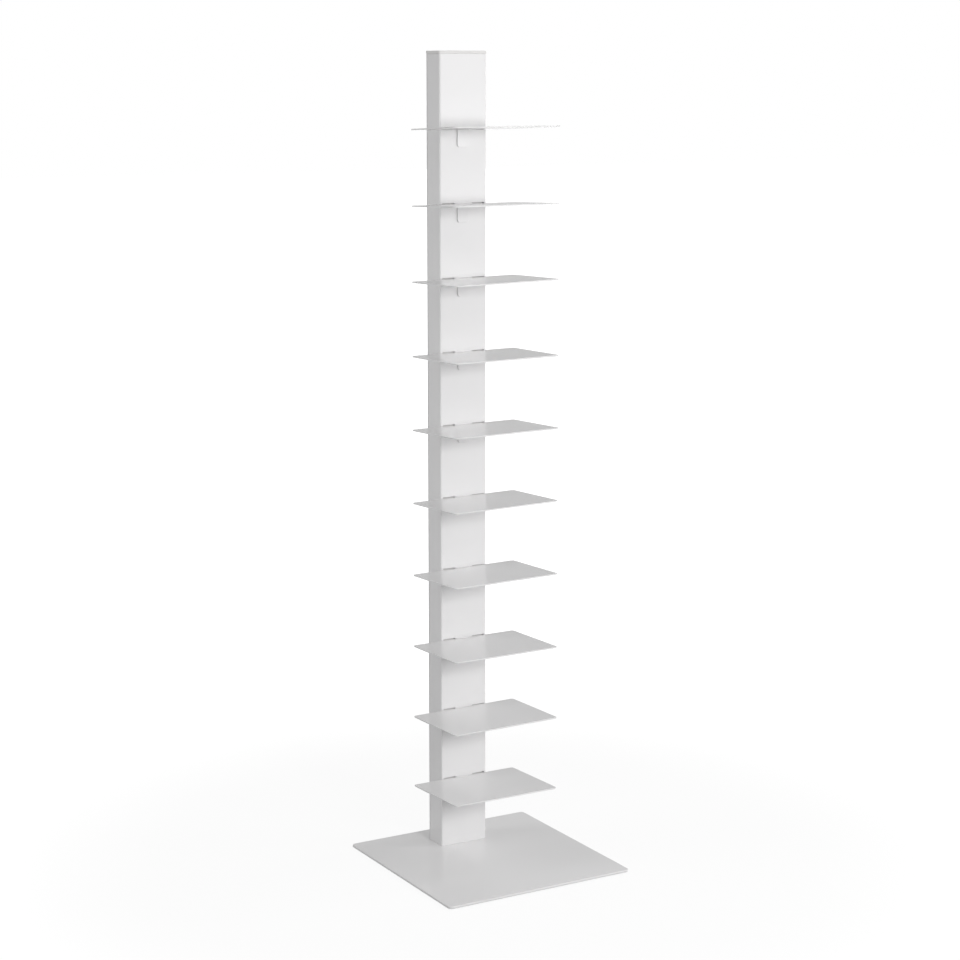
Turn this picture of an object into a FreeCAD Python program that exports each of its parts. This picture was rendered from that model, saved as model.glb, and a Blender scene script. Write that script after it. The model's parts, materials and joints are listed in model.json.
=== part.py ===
"""Spine bookshelf: ten hook-on steel shelves on a slotted sheet-steel column over a flat square base.

Millimetres. +X is the right-hand side, +Y the back and +Z up. The origin is the centre of the base
plate's footprint, on the floor. Each sub-part is written to parts/NODE.step.

How it is made. A heavy square plate lies on four thin pads. A folded channel stands on it, closed at
the back by a screwed panel and at the top by a moulded cap. Each shelf is one flat blank with three
tongues at its back edge: the two outer ones run through slots in the column and turn up behind its
wall, and the middle one turns down in front of it and props the shelf level.
"""

import math
import os

import FreeCAD, Part

V = FreeCAD.Vector
tolerance = 0.01            # within which an edge counts as lying at a height

# ------------------------------------------------------------------ driving dimensions
# base plate
base_side = 424.0
base_thickness = 5.0
base_corner_radius = 5.0
base_edge_ease = 0.6        # chamfer along the plate's edges

# pads under the base
pad_diameter = 24.0
pad_thickness = 1.5
pad_inset = 32.0            # from the base's edges to a pad's centre

# column
column_width = 107.0
column_depth = 54.0         # front face to the back panel's outer face
column_setback = 56.0       # from the base's back edge to the column's back
wall = 1.2                  # channel sheet
bend_inside = 1.3           # inside bend radius of the channel
lip_width = 16.0            # the channel's return lips at the back
panel_thickness = 1.2
panel_edge_round = 0.7      # along the panel's upright edges

# shelves
shelf_count = 10
bay_height = 150.0          # from the middle of one shelf's top face to the next, and from the base's top
shelf_width = 240.0
shelf_depth = 180.0         # from the column's face to the front edge
shelf_thickness = 2.5
shelf_corner_radius = 6.0
shelf_rise = 1.8            # degrees by which a shelf climbs from the column to its front edge
shelf_rear_gap = 1.5        # back edge to the column's face
shelf_side_shift = -1.2     # the shelves hang at the left of their sideways play

# hooks and slots
slot_width = 28.0
slot_height = 5.0
slot_margin = 5.0           # from the column's side to the slot's outer end
hook_width = 24.6
hook_height = 14.0          # above the shelf's top face at its root
hook_corner_radius = 4.0
hook_inside = 1.0           # inside bend radius of the hook
hook_play = 0.3             # hook to the wall's inner face
seat_clearance = 0.3        # neck to the slot's lower edge

# prop tab in the middle of the back edge
tab_width = 26.0
tab_length = 40.0           # below the middle of the shelf's top face
tab_corner_radius = 5.0
tab_inside = 1.5            # inside bend radius of the tab
tab_play = 0.3              # tab to the column's face
relief_width = 2.0          # notches each side of the tab's bend
relief_past = 0.8           # how far the notches run past the start of the bend

# sole bracket, nuts and bolts at the foot
sole_thickness = 3.0
sole_flange = 30.0
sole_inside = 3.0           # inside bend radius of the bracket
sole_clearance = 0.2        # to the column's bends, front and back
bolt_radius = 3.0
bolt_length = 16.0
bolt_head_radius = 6.0
bolt_spacing_x = 60.0
bolt_spacing_y = 26.0
bolt_hole_radius = 3.3
bolt_socket_flats = 4.0
bolt_socket_depth = 2.0
bolt_head_recess = 0.3      # head face above the base's underside
nut_flats = 10.0
nut_height = 5.0
thread_clearance = 0.05

# back panel screws
screw_rows = 5
screw_end_distance = 45.0   # from the panel's ends to the first and last screw
screw_edge_distance = 9.5   # from the panel's side edges
screw_radius = 1.75
screw_length = 9.0
screw_head_radius = 4.0
screw_head_height = 2.4
screw_hole_radius = 2.3

# wall anchor nut in the back panel
anchor_drop = 60.0          # from the column's top to the anchor's centre
anchor_body_radius = 3.5
anchor_body_length = 11.0
anchor_flange_radius = 5.0
anchor_flange_thickness = 1.0
anchor_bore_radius = 2.1

# moulded end cap
cap_flange_thickness = 6.0
cap_overhang = 1.0          # of the flange past the column
cap_corner_radius = 2.5
cap_top_round = 1.0
cap_top_wall = 2.5          # over the hollow inside
cap_under_taper = 0.8       # height over which the flange draws in to the column
cap_seat_overhang = 0.4     # of the flange where it meets the column
cap_skirt_depth = 18.0
cap_skirt_wall = 2.0
cap_skirt_gap = 0.6         # skirt to the channel's inner faces
cap_rib_radius = 1.5
cap_rib_clearance = 0.05
cap_rib_pitch = 30.0
cap_lead_in = 3.0           # bare skirt below the ribs

# ------------------------------------------------------------------ worked out from those
base_top = pad_thickness + base_thickness
overall_height = base_top + bay_height * (shelf_count + 1)
column_top = overall_height - cap_flange_thickness
column_height = column_top - base_top
column_back = base_side / 2 - column_setback
column_front = column_back - column_depth
channel_back = column_back - panel_thickness
wall_inner = column_front + wall
half_width = column_width / 2
inner_half = half_width - wall
shelf_middle = column_front - shelf_depth / 2
rise = math.radians(shelf_rise)
hinge_y = wall_inner + hook_play - hook_inside        # axis of the hooks' bend, on which a shelf swings
slot_drop = hook_inside + shelf_thickness + seat_clearance   # from that axis to the slots' lower edge
column_middle = (wall_inner + channel_back - wall) / 2
slot_centres = [side * (half_width - slot_margin - slot_width / 2) for side in (-1, 1)]


def shelf_top(number, y=shelf_middle):
    """Height of a shelf's top face at y, by default at its middle; number 1 is the lowest shelf."""
    return base_top + bay_height * number - math.tan(rise) * (y - shelf_middle)


def hinge_height(number):
    """Height of the axis on which a shelf swings."""
    return shelf_top(number, hinge_y) + hook_inside / math.cos(rise)


# ------------------------------------------------------------------ shape helpers
def rounded_path(points, radii):
    """Edges of an open polyline whose inner corners are rounded by tangent arcs."""
    edges = []
    start = points[0]
    for before, corner, after, radius in zip(points, points[1:], points[2:], radii):
        towards = (before - corner).normalize()
        away = (after - corner).normalize()
        half_turn = towards.getAngle(away) / 2
        setback = radius / math.tan(half_turn)
        first = corner + towards * setback
        last = corner + away * setback
        bisector = (towards + away).normalize()
        middle = corner + bisector * (radius / math.sin(half_turn) - radius)
        edges.append(Part.LineSegment(start, first).toShape())
        edges.append(Part.Arc(first, middle, last).toShape())
        start = last
    edges.append(Part.LineSegment(start, points[-1]).toShape())
    return edges


def folded_sheet(points, thickness, inside_radius, normal):
    """Face of a bent sheet's section. points run along one side of the sheet, and the other side lies
    to the left of them as seen with normal pointing at the viewer. Bends are concentric arcs."""
    left = [normal.cross(b - a).normalize() for a, b in zip(points, points[1:])]
    other = [points[0] + left[0] * thickness]
    radii, other_radii = [], []
    for corner, one, two, a, b in zip(points[1:-1], left, left[1:], points, points[2:]):
        other.append(corner + (one + two) * (thickness / (1 + one.dot(two))))
        turns_left = normal.dot((corner - a).cross(b - corner)) > 0
        radii.append(inside_radius + (thickness if turns_left else 0))
        other_radii.append(inside_radius + (0 if turns_left else thickness))
    other.append(points[-1] + left[-1] * thickness)
    there = rounded_path(points, radii)
    back = rounded_path(other, other_radii)
    ends = [Part.LineSegment(points[i], other[i]).toShape() for i in (0, -1)]
    wire = Part.Wire(Part.__sortEdges__(there + back + ends))
    return Part.Face(wire)


def rounded_rectangle(x0, y0, x1, y1, z, radius):
    """Face of a rectangle with four round corners, flat at height z."""
    middle = V((x0 + x1) / 2, y0, z)
    corners = [V(x1, y0, z), V(x1, y1, z), V(x0, y1, z), V(x0, y0, z)]
    return Part.Face(Part.Wire(rounded_path([middle] + corners + [middle], [radius] * 4)))


def box(x0, y0, z0, x1, y1, z1):
    """Solid box between two corners."""
    return Part.makeBox(x1 - x0, y1 - y0, z1 - z0, V(x0, y0, z0))


def edges_along(shape, direction, test):
    """Straight edges parallel to direction whose middle point passes test."""
    found = []
    for edge in shape.Edges:
        if len(edge.Vertexes) != 2 or edge.Curve.TypeId != "Part::GeomLine":
            continue
        along = (edge.Vertexes[1].Point - edge.Vertexes[0].Point).normalize()
        if abs(along.dot(direction)) > 0.999 and test(edge.CenterOfMass):
            found.append(edge)
    return found


def rim_edges(shape, side):
    """Edges round the face that looks up (side 1) or down (side -1)."""
    return [edge for face in shape.Faces if face.normalAt(0, 0).z * side > 0.999 for edge in face.Edges]


def hexagon(centre, flats, height):
    """Hexagonal prism standing on centre."""
    reach = flats / math.sqrt(3)
    angles = [math.pi / 3 * i for i in range(7)]
    corners = [centre + V(reach * math.cos(angle), reach * math.sin(angle), 0) for angle in angles]
    return Part.Face(Part.makePolygon(corners)).extrude(V(0, 0, height))


# ------------------------------------------------------------------ base
def bolt_places():
    """Centres of the four bolts that hold the column's sole to the base."""
    return [
        (sx * bolt_spacing_x / 2, column_middle + sy * bolt_spacing_y / 2)
        for sx in (-1, 1)
        for sy in (-1, 1)
    ]


def make_base_plate():
    """Square steel plate with round corners, eased edges and four countersunk holes under the column."""
    half = base_side / 2
    plate = rounded_rectangle(-half, -half, half, half, pad_thickness, base_corner_radius)
    plate = plate.extrude(V(0, 0, base_thickness))
    plate = plate.makeChamfer(base_edge_ease, rim_edges(plate, 1) + rim_edges(plate, -1))
    sink_radius = bolt_head_radius + thread_clearance + bolt_head_recess
    sink_depth = sink_radius - bolt_hole_radius
    for x, y in bolt_places():
        hole = Part.makeCylinder(bolt_hole_radius, base_thickness, V(x, y, pad_thickness))
        sink = Part.makeCone(sink_radius, bolt_hole_radius, sink_depth, V(x, y, pad_thickness))
        plate = plate.cut(hole.fuse(sink))
    return plate


def make_foot_pad(side_x, side_y):
    """Thin round pad under one corner of the base."""
    reach = base_side / 2 - pad_inset
    return Part.makeCylinder(pad_diameter / 2, pad_thickness, V(side_x * reach, side_y * reach, 0))


# ------------------------------------------------------------------ foot of the column
def make_sole_bracket():
    """Folded tray inside the column's foot: its floor is bolted to the base, its flanges are welded
    to the column's sides."""
    half = inner_half
    depth = column_depth - panel_thickness - 2 * (wall + bend_inside + sole_clearance)
    y0 = column_middle - depth / 2
    top = base_top + sole_flange
    path = [V(-half, y0, top), V(-half, y0, base_top), V(half, y0, base_top), V(half, y0, top)]
    tray = folded_sheet(path, sole_thickness, sole_inside, V(0, -1, 0)).extrude(V(0, depth, 0))
    for x, y in bolt_places():
        tray = tray.cut(Part.makeCylinder(bolt_hole_radius, sole_thickness, V(x, y, base_top)))
    return tray


def make_sole_nuts():
    """Four plain hexagon nuts welded on the bracket's floor."""
    nuts = []
    for x, y in bolt_places():
        seat = V(x, y, base_top + sole_thickness)
        bore = Part.makeCylinder(bolt_radius + thread_clearance, nut_height, seat)
        nuts.append(hexagon(seat, nut_flats, nut_height).cut(bore))
    return Part.makeCompound(nuts)


def make_base_bolts():
    """Four countersunk socket bolts, put in from under the base."""
    bolts = []
    underside = pad_thickness + bolt_head_recess
    head_height = bolt_head_radius - bolt_radius
    for x, y in bolt_places():
        head = Part.makeCone(bolt_head_radius, bolt_radius, head_height, V(x, y, underside))
        shank = Part.makeCylinder(bolt_radius, bolt_length, V(x, y, underside))
        socket = hexagon(V(x, y, underside), bolt_socket_flats, bolt_socket_depth)
        bolts.append(head.fuse(shank).removeSplitter().cut(socket))
    return Part.makeCompound(bolts)


# ------------------------------------------------------------------ column
def screw_places():
    """Centres of the back panel's screws, as (x, z)."""
    low = base_top + screw_end_distance
    step = (column_height - 2 * screw_end_distance) / (screw_rows - 1)
    x = half_width - screw_edge_distance
    return [(side * x, low + step * row) for row in range(screw_rows) for side in (-1, 1)]


def make_slot(centre_x, bottom):
    """Cutter for one slot in the column's front wall."""
    x0, x1 = centre_x - slot_width / 2, centre_x + slot_width / 2
    y0, y1 = column_front - wall, column_front + 2 * wall
    return box(x0, y0, bottom, x1, y1, bottom + slot_height)


def make_column_channel():
    """Folded steel channel: front wall with two slots to each shelf, side walls and return lips."""
    lip_edge = half_width - lip_width
    path = [
        V(-lip_edge, channel_back, base_top),
        V(-half_width, channel_back, base_top),
        V(-half_width, column_front, base_top),
        V(half_width, column_front, base_top),
        V(half_width, channel_back, base_top),
        V(lip_edge, channel_back, base_top),
    ]
    channel = folded_sheet(path, wall, bend_inside, V(0, 0, 1)).extrude(V(0, 0, column_height))
    cutters = [
        make_slot(centre_x, hinge_height(number) - slot_drop)
        for number in range(1, shelf_count + 1)
        for centre_x in slot_centres
    ]
    for x, z in screw_places():
        start = V(x, channel_back - 2 * wall, z)
        cutters.append(Part.makeCylinder(screw_radius + thread_clearance, 3 * wall, start, V(0, 1, 0)))
    return channel.cut(Part.makeCompound(cutters))


def make_back_panel():
    """Flat panel that closes the channel's back, with clearance holes and the anchor's hole."""
    panel = box(-half_width, channel_back, base_top, half_width, column_back, column_top)
    uprights = edges_along(panel, V(0, 0, 1), lambda point: point.y > column_back - panel_thickness / 2)
    panel = panel.makeFillet(panel_edge_round, uprights)
    holes = [(x, z, screw_hole_radius) for x, z in screw_places()]
    holes.append((0, column_top - anchor_drop, anchor_body_radius + thread_clearance))
    for x, z, radius in holes:
        panel = panel.cut(Part.makeCylinder(radius, panel_thickness, V(x, channel_back, z), V(0, 1, 0)))
    return panel


def make_panel_screws():
    """Pan-head sheet screws through the panel into the channel's lips."""
    screws = []
    for x, z in screw_places():
        shank = Part.makeCylinder(screw_radius, screw_length, V(x, column_back, z), V(0, -1, 0))
        head = Part.makeCylinder(screw_head_radius, screw_head_height, V(x, column_back, z), V(0, 1, 0))
        screws.append(head.fuse(shank).removeSplitter())
    return Part.makeCompound(screws)


def make_anchor_nut():
    """Flanged rivet nut in the back panel for a wall strap's screw."""
    seat = V(0, column_back, column_top - anchor_drop)
    mouth = seat + V(0, anchor_flange_thickness, 0)
    body = Part.makeCylinder(anchor_body_radius, anchor_body_length, seat, V(0, -1, 0))
    flange = Part.makeCylinder(anchor_flange_radius, anchor_flange_thickness, mouth, V(0, -1, 0))
    length = anchor_body_length + anchor_flange_thickness
    bore = Part.makeCylinder(anchor_bore_radius, length, mouth, V(0, -1, 0))
    return body.fuse(flange).removeSplitter().cut(bore)


def make_end_cap():
    """Moulded cap: a flange with a soft top edge and a thin skirt whose ribs grip the column's inside."""
    reach_x = half_width + cap_overhang
    y0, y1 = column_front - cap_overhang, column_back + cap_overhang
    flange = rounded_rectangle(-reach_x, y0, reach_x, y1, column_top, cap_corner_radius)
    flange = flange.extrude(V(0, 0, cap_flange_thickness))
    flange = flange.makeFillet(cap_top_round, rim_edges(flange, 1))
    flange = flange.makeChamfer(cap_overhang - cap_seat_overhang, cap_under_taper, rim_edges(flange, -1))

    skirt_x = inner_half - cap_skirt_gap
    front, back = wall_inner + cap_skirt_gap, channel_back - wall - cap_skirt_gap
    bottom = column_top - cap_skirt_depth
    inner_x = skirt_x - cap_skirt_wall
    outer = rounded_rectangle(-skirt_x, front, skirt_x, back, bottom, bend_inside)
    inner_corner = bend_inside / 2
    inner_front, inner_back = front + cap_skirt_wall, back - cap_skirt_wall
    hollow = rounded_rectangle(-inner_x, inner_front, inner_x, inner_back, bottom, inner_corner)
    cavity = hollow.extrude(V(0, 0, cap_skirt_depth + cap_flange_thickness - cap_top_wall))
    skirt = outer.extrude(V(0, 0, cap_skirt_depth))

    rib_low = bottom + cap_lead_in
    rib_height = cap_skirt_depth - cap_lead_in
    bite = cap_skirt_gap - cap_rib_clearance - cap_rib_radius   # the ribs' axes, out from the skirt's faces
    places = [(x, front - bite) for x in (-cap_rib_pitch, 0, cap_rib_pitch)]
    places += [(x, back + bite) for x in (-cap_rib_pitch, 0, cap_rib_pitch)]
    places += [(side * (skirt_x + bite), column_middle) for side in (-1, 1)]
    ribs = [Part.makeCylinder(cap_rib_radius, rib_height, V(x, y, rib_low)) for x, y in places]
    return flange.fuse([skirt] + ribs).cut(cavity).removeSplitter()


# ------------------------------------------------------------------ shelves
def make_tongue(path, width, inside_radius, centre_x):
    """Bent tongue of the shelf's sheet: a folded section carried sideways over its width."""
    section = folded_sheet(path, shelf_thickness, inside_radius, V(1, 0, 0))
    tongue = section.extrude(V(width, 0, 0))
    tongue.translate(V(centre_x - width / 2, 0, 0))
    return tongue


def make_plate(number):
    """The shelf's flat plate, notched where its prop tab bends down, and tilted to its rise."""
    top = shelf_top(number)
    under = top - shelf_thickness
    front_edge = column_front - shelf_depth
    back_edge = column_front - shelf_rear_gap
    half = shelf_width / 2
    plate = rounded_rectangle(-half, front_edge, half, back_edge, under, shelf_corner_radius)
    plate = plate.extrude(V(0, 0, shelf_thickness))
    bend_start = column_front - tab_play - shelf_thickness - tab_inside
    notch_x = tab_width / 2 + relief_width
    plate = plate.cut(box(-notch_x, bend_start - relief_past, under, notch_x, column_front, top))
    plate.rotate(V(0, shelf_middle, top), V(1, 0, 0), -shelf_rise)
    return plate


def make_shelf(number):
    """One shelf: a flat plate with two hooks and a prop tab folded from the same sheet."""
    def under(y):
        return V(0, y, shelf_top(number, y) - shelf_thickness / math.cos(rise))

    # hook: through the slot and up behind the wall
    hook_root = column_front - shelf_rear_gap - shelf_thickness
    hook_back = wall_inner + hook_play + shelf_thickness
    hook_top = hinge_height(number) - hook_inside + hook_height
    hook_path = [under(hook_root), under(hook_back), V(0, hook_back, hook_top)]
    tongues = []
    for centre_x in slot_centres:
        hook = make_tongue(hook_path, hook_width, hook_inside, centre_x)
        tips = edges_along(hook, V(0, 1, 0), lambda point: point.z > hook_top - tolerance)
        tongues.append(hook.makeFillet(hook_corner_radius, tips))

    # prop tab: down in front of the wall
    tab_foot = shelf_top(number) - tab_length
    tab_front = column_front - tab_play - shelf_thickness
    tab_root = tab_front - 2 * (tab_inside + shelf_thickness)
    tab_path = [under(tab_root), under(tab_front), V(0, tab_front, tab_foot)]
    tab = make_tongue(tab_path, tab_width, tab_inside, 0)
    toes = edges_along(tab, V(0, 1, 0), lambda point: point.z < tab_foot + tolerance)
    tongues.append(tab.makeFillet(tab_corner_radius, toes))

    shelf = make_plate(number).fuse(tongues).removeSplitter()
    shelf.translate(V(shelf_side_shift, 0, 0))
    return shelf


# ------------------------------------------------------------------ build
def build():
    """All the nodes by name."""
    nodes = {
        "base_plate": make_base_plate(),
        "foot_pad_front_left": make_foot_pad(-1, -1),
        "foot_pad_front_right": make_foot_pad(1, -1),
        "foot_pad_rear_left": make_foot_pad(-1, 1),
        "foot_pad_rear_right": make_foot_pad(1, 1),
        "sole_bracket": make_sole_bracket(),
        "sole_nuts": make_sole_nuts(),
        "base_bolts": make_base_bolts(),
        "column_channel": make_column_channel(),
        "back_panel": make_back_panel(),
        "panel_screws": make_panel_screws(),
        "anchor_nut": make_anchor_nut(),
        "end_cap": make_end_cap(),
    }
    for number in range(1, shelf_count + 1):
        nodes[f"shelf_{number:02d}"] = make_shelf(number)
    return nodes


def main():
    os.makedirs("parts", exist_ok=True)
    for name, shape in build().items():
        shape.exportStep(os.path.join("parts", name + ".step"))
        valid = "valid" if shape.isValid() else "INVALID"
        print(f"{name}: {len(shape.Solids)} solid(s), {shape.Volume / 1000:.2f} cm3, {valid}")


main()
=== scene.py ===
# %% [markdown]
# # A spine bookshelf in white powder coat
# A tall, thin bookshelf: a square steel plate on the floor, a folded steel column on it, and ten
# small steel shelves hooked into the column's front. This lesson dresses its construction model: it
# gives every surface a finish, makes the shelves with rounded, coated edges and the fasteners with
# their threads and recesses, and lights the whole like a white studio.
#
# The construction model is loaded first, because every piece is placed from it. Lengths are metres.

# %% Load the construction model
import json
import math

import bmesh
import bpy
import numpy as np
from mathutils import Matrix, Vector
from mathutils.geometry import tessellate_polygon


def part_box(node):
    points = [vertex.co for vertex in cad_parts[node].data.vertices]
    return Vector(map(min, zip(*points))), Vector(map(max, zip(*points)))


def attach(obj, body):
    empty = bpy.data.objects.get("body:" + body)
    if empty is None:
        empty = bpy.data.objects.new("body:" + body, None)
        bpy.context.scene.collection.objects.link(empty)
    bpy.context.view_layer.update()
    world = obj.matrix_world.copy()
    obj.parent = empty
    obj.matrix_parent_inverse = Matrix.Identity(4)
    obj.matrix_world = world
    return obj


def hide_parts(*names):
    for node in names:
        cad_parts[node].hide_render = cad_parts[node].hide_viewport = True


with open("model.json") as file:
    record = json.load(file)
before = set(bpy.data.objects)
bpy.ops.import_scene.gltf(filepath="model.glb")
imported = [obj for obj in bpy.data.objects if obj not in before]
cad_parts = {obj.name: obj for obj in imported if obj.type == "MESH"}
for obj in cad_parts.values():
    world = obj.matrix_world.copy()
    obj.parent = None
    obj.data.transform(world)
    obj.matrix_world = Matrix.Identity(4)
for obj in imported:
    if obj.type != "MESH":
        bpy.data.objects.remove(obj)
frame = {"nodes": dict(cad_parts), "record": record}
scene = bpy.context.scene
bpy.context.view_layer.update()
MM = 0.001

# %% [markdown]
# ## The camera
# The bookshelf is seen from about four and a half metres, from a little under the height of its
# top, turned so that the column's front and its left side show. A long lens keeps the column's edges
# nearly parallel. The camera looks slightly down, so each shelf shows more of its top than the one
# above.

# %% Camera
SENSOR_WIDTH = 36.0  # millimetres
FOCAL_LENGTH = 83.77  # millimetres
CAMERA_PLACE = (-2.2492, -3.8282, 1.6109)
CAMERA_DOWN = 0.17981  # radians below the horizon
CAMERA_TURN = 0.52731  # radians from straight back towards the right

camera_data = bpy.data.cameras.new("camera")
camera_data.sensor_width = SENSOR_WIDTH
camera_data.lens = FOCAL_LENGTH
camera = bpy.data.objects.new("camera", camera_data)
camera.location = CAMERA_PLACE
camera.rotation_euler = (math.pi / 2 - CAMERA_DOWN, 0.0, -CAMERA_TURN)
scene.collection.objects.link(camera)
scene.camera = camera
print("camera:", FOCAL_LENGTH, "mm at", CAMERA_PLACE)

# %% [markdown]
# ## Surfaces from numbers
# Every new piece is a surface that a formula gives: a grid of points worked out with numpy, then
# joined into faces. Modelling by hand would give the same shapes, but a formula can be read, and it
# follows the construction model when a size changes.
#
# One helper numbers the faces of a grid. The other puts points and faces into a mesh, closes its
# seams and poles by merging points that coincide, and shades it smooth except at sharp angles.

# %% Grid and mesh helpers
MERGE_DISTANCE = 1e-6
SHARP_ANGLE = math.radians(38)


def grid_faces(rows, columns, closed=False):
    """Four-cornered faces of a grid whose point (r, c) has the number r * columns + c. A closed grid
    joins its last column to its first."""
    across = np.arange(columns if closed else columns - 1)
    r, c = np.meshgrid(np.arange(rows - 1), across, indexing="ij")
    after = (c + 1) % columns
    corners = (r * columns + c, r * columns + after, (r + 1) * columns + after, (r + 1) * columns + c)
    return np.stack(corners, -1).reshape(-1, 4)


def make_piece(name, points, faces, material, body, slot, replaces=None):
    """A mesh object from points (n, 3) and faces, that rides on a body and may stand for a node."""
    mesh = bpy.data.meshes.new(name)
    mesh.from_pydata(points.reshape(-1, 3).tolist(), [], [list(map(int, face)) for face in faces])
    shape = bmesh.new()
    shape.from_mesh(mesh)
    bmesh.ops.remove_doubles(shape, verts=shape.verts, dist=MERGE_DISTANCE)
    bmesh.ops.recalc_face_normals(shape, faces=shape.faces)
    shape.to_mesh(mesh)
    shape.free()
    mesh.shade_smooth()
    mesh.set_sharp_from_angle(angle=SHARP_ANGLE)
    mesh.materials.append(material)
    piece = bpy.data.objects.new(name, mesh)
    scene.collection.objects.link(piece)
    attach(piece, body)
    if replaces:
        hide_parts(replaces)
    print(name, "has", len(mesh.vertices), "points and", len(mesh.polygons), "faces")
    return piece


# %% [markdown]
# ## Effects that several finishes share
# Powder coat is paint that is dusted on dry and melted in an oven. It flows out almost flat, but a
# fine, soft waviness stays, which painters call orange peel. Its gloss also drifts a little from
# place to place, and a thin film of dust dulls what faces up.
#
# Each of these is a node group, built once and placed in every material that shows it, so that all
# the coated steel wears the same skin. A picture of paint would be simpler, but it would need
# unwrapping, and it blurs close up.

# %% Node helpers
def new_group(name, inputs, outputs):
    """Empty shader group with float inputs {name: value} and outputs [(name, type)]. Returns the
    group, its input node and its output node."""
    group = bpy.data.node_groups.new(name, "ShaderNodeTree")
    for label, value in inputs.items():
        socket = group.interface.new_socket(name=label, in_out="INPUT", socket_type="NodeSocketFloat")
        socket.default_value = value
    for label, kind in outputs:
        group.interface.new_socket(name=label, in_out="OUTPUT", socket_type=kind)
    return group, group.nodes.new("NodeGroupInput"), group.nodes.new("NodeGroupOutput")


def plug(tree, node, values):
    """Gives a node's inputs their values: a socket is linked, and a number or a colour is set."""
    for label, value in values.items():
        if isinstance(value, bpy.types.NodeSocket):
            tree.links.new(value, node.inputs[label])
        else:
            node.inputs[label].default_value = (*value, 1.0) if isinstance(value, tuple) else value


def add(tree, kind, values, **settings):
    """New shader node with its settings and its inputs' values."""
    node = tree.nodes.new("ShaderNode" + kind)
    for name, setting in settings.items():
        setattr(node, name, setting)
    plug(tree, node, values)
    return node


def own_place(tree):
    """Coordinates of the object that wears the material, in metres."""
    return add(tree, "TexCoord", {}).outputs["Object"]


def noise(tree, place, scale, detail=2.0, roughness=0.5):
    """Noise texture. scale is a number, or a socket that gives it."""
    values = {"Vector": place, "Scale": scale, "Detail": detail, "Roughness": roughness}
    return add(tree, "TexNoise", values).outputs["Fac"]


def arithmetic(tree, operation, first, second):
    """Math node on two values, each a number or a socket."""
    return add(tree, "Math", {0: first, 1: second}, operation=operation).outputs[0]


def multiply(tree, first, second):
    """Product of two values, each a number or a socket."""
    return arithmetic(tree, "MULTIPLY", first, second)


def remap(tree, value, low, high, to_low=0.0, to_high=1.0):
    """Map Range node from low..high to to_low..to_high, clamped."""
    return add(tree, "MapRange", {0: value, 1: low, 2: high, 3: to_low, 4: to_high}).outputs[0]


def blend_colours(tree, share, first, second):
    """Mix of two colours, each a tuple or a socket. The Mix node's colours are its inputs 6 and 7
    and its output 2, after those for numbers and vectors."""
    return add(tree, "Mix", {0: share, 6: first, 7: second}, data_type="RGBA").outputs[2]


# %% Orange peel: the fine waviness of a sprayed or moulded skin
tree, start, end = new_group(
    "orange_peel",
    {
        "Waves per metre": 420.0,
        "Grain per metre": 1900.0,
        "Wave height": 0.0000016,
        "Grain height": 0.0000003,
    },
    [("Normal", "NodeSocketVector")],
)
place = own_place(tree)
waves = noise(tree, place, start.outputs["Waves per metre"], detail=1.0)
grain = noise(tree, place, start.outputs["Grain per metre"], detail=0.0)
tall = multiply(tree, waves, start.outputs["Wave height"])
fine = multiply(tree, grain, start.outputs["Grain height"])
bump = add(tree, "Bump", {"Distance": 1.0, "Height": arithmetic(tree, "ADD", tall, fine)})
plug(tree, end, {"Normal": bump.outputs["Normal"]})
print("group:", tree.name)

# %% Drift: slow changes of tone and gloss over a large surface
PATCH_SHARE = 0.8  # of the tone, the rest is the specks'
TONE_SPREAD = (0.25, 0.75)  # noise seldom leaves these, so they become 0 and 1
GLOSS_SPREAD = (0.2, 0.8)

tree, start, end = new_group(
    "drift",
    {"Patches per metre": 6.0, "Specks per metre": 70.0},
    [("Tone", "NodeSocketFloat"), ("Gloss", "NodeSocketFloat")],
)
place = own_place(tree)
patches = noise(tree, place, start.outputs["Patches per metre"], detail=1.0)
specks = noise(tree, place, start.outputs["Specks per metre"], detail=2.0)
broad = multiply(tree, patches, PATCH_SHARE)
both = arithmetic(tree, "ADD", broad, multiply(tree, specks, 1 - PATCH_SHARE))
tone, gloss = remap(tree, both, *TONE_SPREAD), remap(tree, specks, *GLOSS_SPREAD)
plug(tree, end, {"Tone": tone, "Gloss": gloss})
print("group:", tree.name)

# %% Dust: a thin film on what faces up, thicker in patches
FACING_UP = (0.5, 1.0)  # the normal's z where dust starts to lie, and lies in full
PATCH_SPREAD = (0.35, 0.7)
MOTE_SPREAD = (0.45, 0.75)
THIN_PATCH = 0.2  # least film, as a share of the most
BETWEEN_MOTES = 0.3  # and the same between motes

tree, start, end = new_group(
    "dust",
    {"Patches per metre": 14.0, "Motes per metre": 900.0, "Amount": 0.5},
    [("Mask", "NodeSocketFloat")],
)
place = own_place(tree)
upward = add(tree, "SeparateXYZ", {0: add(tree, "NewGeometry", {}).outputs["Normal"]})
facing = remap(tree, upward.outputs["Z"], *FACING_UP)
patches = noise(tree, place, start.outputs["Patches per metre"], detail=3.0, roughness=0.6)
motes = noise(tree, place, start.outputs["Motes per metre"], detail=1.0)
film = multiply(tree, remap(tree, patches, *PATCH_SPREAD, THIN_PATCH), facing)
lint = multiply(tree, film, remap(tree, motes, *MOTE_SPREAD, BETWEEN_MOTES))
plug(tree, end, {"Mask": multiply(tree, lint, start.outputs["Amount"])})
print("group:", tree.name)


def place_group(tree, name, **values):
    """Places a shared effect in a material, with its own values for the inputs named."""
    values = {label.replace("_", " "): value for label, value in values.items()}
    return add(tree, "Group", values, node_tree=bpy.data.node_groups[name])


def new_material(name):
    """Material with a Principled shader. Returns the material, its node tree and the shader."""
    material = bpy.data.materials.new(name)
    material.use_nodes = True
    return material, material.node_tree, material.node_tree.nodes["Principled BSDF"]


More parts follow.
